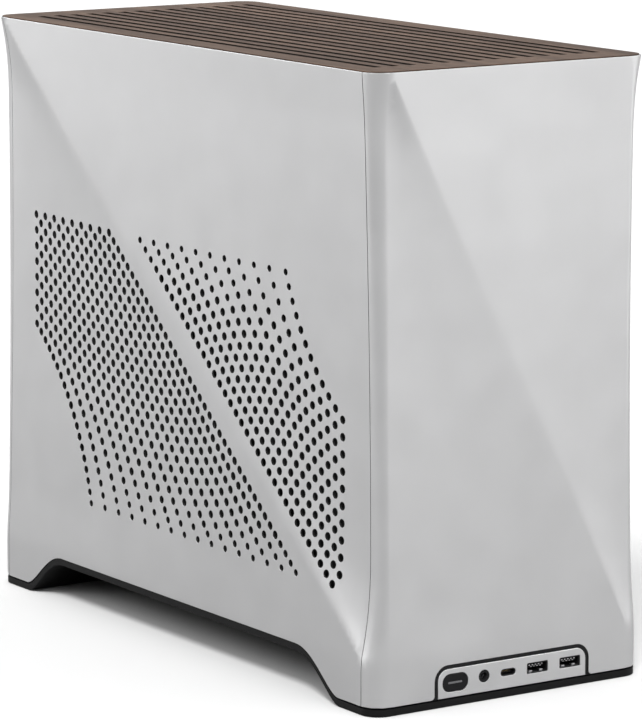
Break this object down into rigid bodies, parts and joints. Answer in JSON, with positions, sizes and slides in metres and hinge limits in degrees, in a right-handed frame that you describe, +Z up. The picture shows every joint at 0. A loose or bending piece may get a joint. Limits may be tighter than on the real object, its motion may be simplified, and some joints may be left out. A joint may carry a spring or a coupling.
{
  "type": "mini pc",
  "caption": "Tall small-form-factor desktop computer: creased aluminium case, slatted walnut top, arched black base, front port plate and pull-off panels.",
  "frame": {"origin": "middle of the footprint, on the surface the computer stands on", "axes": "+Z up, front towards -Y, +X to the right as seen from the front"},
  "size_m": [0.165, 0.366, 0.314],
  "materials": {
    "anodised_case": "bead-blasted, clear anodised",
    "walnut": "oiled, open grain",
    "black_base": "fine moulded texture",
    "rubber_feet": "matte",
    "black_steel": "powder coat",
    "port_plate": "bead-blasted, clear anodised",
    "port_black": "satin",
    "button_black": "satin",
    "indicator": "translucent white",
    "socket_steel": "bright",
    "fan_frame": "moulded",
    "fan_blades": "moulded",
    "circuit_board": "solder mask",
    "heatsink": "bare",
    "shield_steel": "stamped",
    "card_shroud": "moulded",
    "memory_spreader": "black anodised",
    "cable_black": "matte",
    "screw_black": "black zinc"
  },
  "bodies": {
    "chassis": {"rear_panel": "anodised_case", "base_tray": "black_base", "foot_pad_front_left": "rubber_feet", "foot_pad_front_right": "rubber_feet", "foot_pad_rear_left": "rubber_feet", "foot_pad_rear_right": "rubber_feet", "io_plate": "port_plate", "io_bezel": "port_black", "usb_a_shell_1": "socket_steel", "usb_a_shell_2": "socket_steel", "usb_a_tongue_1": "port_black", "usb_a_tongue_2": "port_black", "usb_c_shell": "socket_steel", "usb_c_tongue": "port_black", "audio_jack": "port_black", "front_io_board": "circuit_board", "front_bulkhead": "black_steel", "rear_plate": "black_steel", "spine_plate": "black_steel", "top_rail_left": "black_steel", "top_rail_right": "black_steel", "bottom_fan_frame_front": "fan_frame", "bottom_fan_frame_rear": "fan_frame", "psu_case": "black_steel", "psu_board": "circuit_board", "psu_fan_guard": "screw_black", "power_inlet": "port_black", "power_lead": "cable_black", "motherboard": "circuit_board", "io_shield": "shield_steel", "memory_module_1": "memory_spreader", "memory_module_2": "memory_spreader", "ssd": "circuit_board", "cpu_heatsink": "heatsink", "cpu_fan_frame": "fan_frame", "gpu_board": "circuit_board", "gpu_backplate": "heatsink", "gpu_heatsink": "heatsink", "gpu_shroud": "card_shroud", "gpu_bracket": "shield_steel", "riser_plug": "port_black", "riser_ribbon": "cable_black", "riser_socket": "port_black", "rear_screw_left": "screw_black", "rear_screw_right": "screw_black", "card_screw": "screw_black"},
    "left_side": {"side_panel_left": "anodised_case"},
    "right_side": {"side_panel_right": "anodised_case"},
    "front_cover": {"front_panel": "anodised_case"},
    "top_cover": {"top_panel": "walnut", "top_carrier": "black_steel"},
    "filter": {"dust_filter": "black_base"},
    "button": {"power_button": "button_black", "power_light": "indicator"},
    "bottom_rotor_front": {"bottom_fan_rotor_front": "fan_blades"},
    "bottom_rotor_rear": {"bottom_fan_rotor_rear": "fan_blades"},
    "card_rotor_front": {"gpu_fan_rotor_front": "fan_blades"},
    "card_rotor_rear": {"gpu_fan_rotor_rear": "fan_blades"},
    "cpu_rotor": {"cpu_fan_rotor": "fan_blades"},
    "psu_rotor": {"psu_fan_rotor": "fan_blades"}
  },
  "joints": [
    {"name": "left_side_pull", "type": "slide", "parent": "chassis", "child": "left_side", "axis": [-1, 0, 0], "range_m": [0, 0.09]},
    {"name": "right_side_pull", "type": "slide", "parent": "chassis", "child": "right_side", "axis": [1, 0, 0], "range_m": [0, 0.09]},
    {"name": "front_cover_pull", "type": "slide", "parent": "chassis", "child": "front_cover", "axis": [0, -1, 0], "range_m": [0, 0.06]},
    {"name": "top_cover_lift", "type": "slide", "parent": "chassis", "child": "top_cover", "axis": [0, 0, 1], "range_m": [0, 0.08]},
    {"name": "filter_pull", "type": "slide", "parent": "chassis", "child": "filter", "axis": [-1, 0, 0], "range_m": [0, 0.15]},
    {"name": "power_button_press", "type": "slide", "parent": "chassis", "child": "button", "axis": [0, 1, 0], "range_m": [0, 0.0012], "stiffness_N_per_m": 400, "springref_m": -0.0006},
    {"name": "bottom_fan_spin_front", "type": "hinge", "parent": "chassis", "child": "bottom_rotor_front", "pos_m": [0, -0.0606, 0.0351], "axis": [0, 0, 1], "continuous": true},
    {"name": "bottom_fan_spin_rear", "type": "hinge", "parent": "chassis", "child": "bottom_rotor_rear", "pos_m": [0, 0.0606, 0.0351], "axis": [0, 0, 1], "continuous": true},
    {"name": "card_fan_spin_front", "type": "hinge", "parent": "chassis", "child": "card_rotor_front", "pos_m": [-0.06105, -0.03791, 0.1375], "axis": [1, 0, 0], "continuous": true},
    {"name": "card_fan_spin_rear", "type": "hinge", "parent": "chassis", "child": "card_rotor_rear", "pos_m": [-0.06105, 0.08491, 0.1375], "axis": [1, 0, 0], "continuous": true},
    {"name": "cpu_fan_spin", "type": "hinge", "parent": "chassis", "child": "cpu_rotor", "pos_m": [0.0324, 0.081, 0.198], "axis": [1, 0, 0], "continuous": true},
    {"name": "psu_fan_spin", "type": "hinge", "parent": "chassis", "child": "psu_rotor", "pos_m": [0.0395, -0.116, 0.2285], "axis": [1, 0, 0], "continuous": true}
  ]
}
